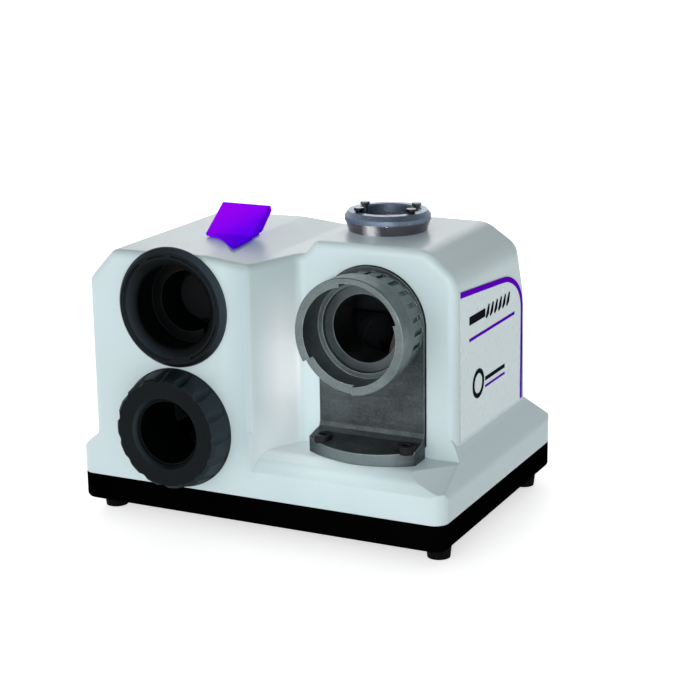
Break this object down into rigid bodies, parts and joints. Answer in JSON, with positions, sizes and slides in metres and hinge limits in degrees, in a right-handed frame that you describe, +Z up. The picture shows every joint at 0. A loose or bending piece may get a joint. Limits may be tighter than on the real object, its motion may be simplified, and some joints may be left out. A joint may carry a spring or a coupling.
{
  "type": "drill bit sharpener",
  "caption": "Bench grinder for twist drills: white two-tower cover on a black base, with a setting gauge, fluted relief seat, point seat on a bracket and a top web-thinning seat.",
  "frame": {"origin": "middle of the bounding box in plan, at the plane the rubber feet stand on", "axes": "+Z up, +X to the right seen from the front, -Y out of the front where the drill seats are"},
  "size_m": [0.34, 0.271, 0.2671],
  "materials": {
    "cover_white": "smooth painted moulding, satin gloss",
    "base_black": "black, fine texture",
    "port_black": "dark charcoal glass-filled nylon, satin",
    "feet_rubber": "matt",
    "screw_steel": "black oxide",
    "zinc_steel": "zinc plated",
    "cast_bracket": "fine cast, dull grey",
    "seat_metal": "turned, satin grey",
    "ring_anodised": "blue-grey anodised",
    "ring_steel": "polished turned steel",
    "violet_plastic": "violet, gloss",
    "label_film": "printed film with a violet border stripe",
    "wheel_abrasive": "bonded abrasive, gritty",
    "motor_paint": "dark grey enamel",
    "copper_iron": "laminations and windings",
    "board_green": "circuit board",
    "inlet_black": "black nylon",
    "brass_pin": "plated"
  },
  "bodies": {
    "frame": {"base_tray": "base_black", "rubber_feet": "feet_rubber", "foot_screws": "zinc_steel", "housing_cover": "cover_white", "cover_screws": "screw_steel", "side_label": "label_film", "vent_filter": "feet_rubber", "angle_bracket": "cast_bracket", "bracket_screws": "screw_steel", "point_seat_collar": "seat_metal", "point_seat_sleeve": "seat_metal", "point_seat_lock_ring": "seat_metal", "bracket_posts": "zinc_steel", "setting_gauge_cup": "port_black", "gauge_stop": "port_black", "gauge_lock_ring": "port_black", "relief_seat_flange": "port_black", "relief_lock_ring": "port_black", "top_seat_base": "ring_steel", "top_seat_ring": "ring_anodised", "top_seat_pins": "screw_steel", "top_seat_lock_ring": "ring_steel", "switch_bezel": "violet_plastic", "paddle_pin": "zinc_steel", "switch_body": "inlet_black", "chassis_plate": "zinc_steel", "chassis_screws": "screw_steel", "motor_cradle": "motor_paint", "cradle_screws": "screw_steel", "motor_can": "motor_paint", "motor_strap": "zinc_steel", "motor_stator": "copper_iron", "motor_end_bell_left": "motor_paint", "motor_end_bell_right": "motor_paint", "motor_bearings": "zinc_steel", "control_board": "board_green", "board_spacers": "inlet_black", "capacitors": "inlet_black", "terminal_block": "inlet_black", "power_inlet": "inlet_black", "fuse_holder": "inlet_black", "inlet_pins": "brass_pin", "inlet_screws": "screw_steel"},
    "rotor": {"rotor_shaft": "zinc_steel", "grinding_wheel_left": "wheel_abrasive", "grinding_wheel_right": "wheel_abrasive", "wheel_flanges": "zinc_steel", "wheel_nuts": "zinc_steel", "cooling_fan": "inlet_black"},
    "relief_collar": {"fluted_collar": "port_black"},
    "stop_paddle": {"stop_paddle": "violet_plastic"},
    "switch_plunger": {"switch_plunger": "inlet_black"},
    "fuse_drawer": {"fuse_drawer": "inlet_black"}
  },
  "joints": [
    {"name": "rotor_spin", "type": "hinge", "parent": "frame", "child": "rotor", "pos_m": [0, 0.0245, 0.126], "axis": [1, 0, 0], "continuous": true},
    {"name": "relief_collar_turn", "type": "hinge", "parent": "frame", "child": "relief_collar", "pos_m": [-0.0712, -0.1145, 0.0889], "axis": [0, 1, 0], "range_deg": [-150, 150]},
    {"name": "paddle_press", "type": "hinge", "parent": "frame", "child": "stop_paddle", "pos_m": [-0.06, -0.0335, 0.2372], "axis": [-1, 0, 0], "range_deg": [0, 6], "stiffness_Nm_per_rad": 0.6, "springref_deg": -2.86},
    {"name": "plunger_travel", "type": "slide", "parent": "frame", "child": "switch_plunger", "axis": [0, 0, -1], "range_m": [0, 0.0008]},
    {"name": "fuse_drawer_pull", "type": "slide", "parent": "frame", "child": "fuse_drawer", "axis": [0, 1, 0], "range_m": [0, 0.012]}
  ],
  "couplings": [
    {"joint": "plunger_travel", "follows": "paddle_press", "m_per_rad": 0.0068}
  ]
}
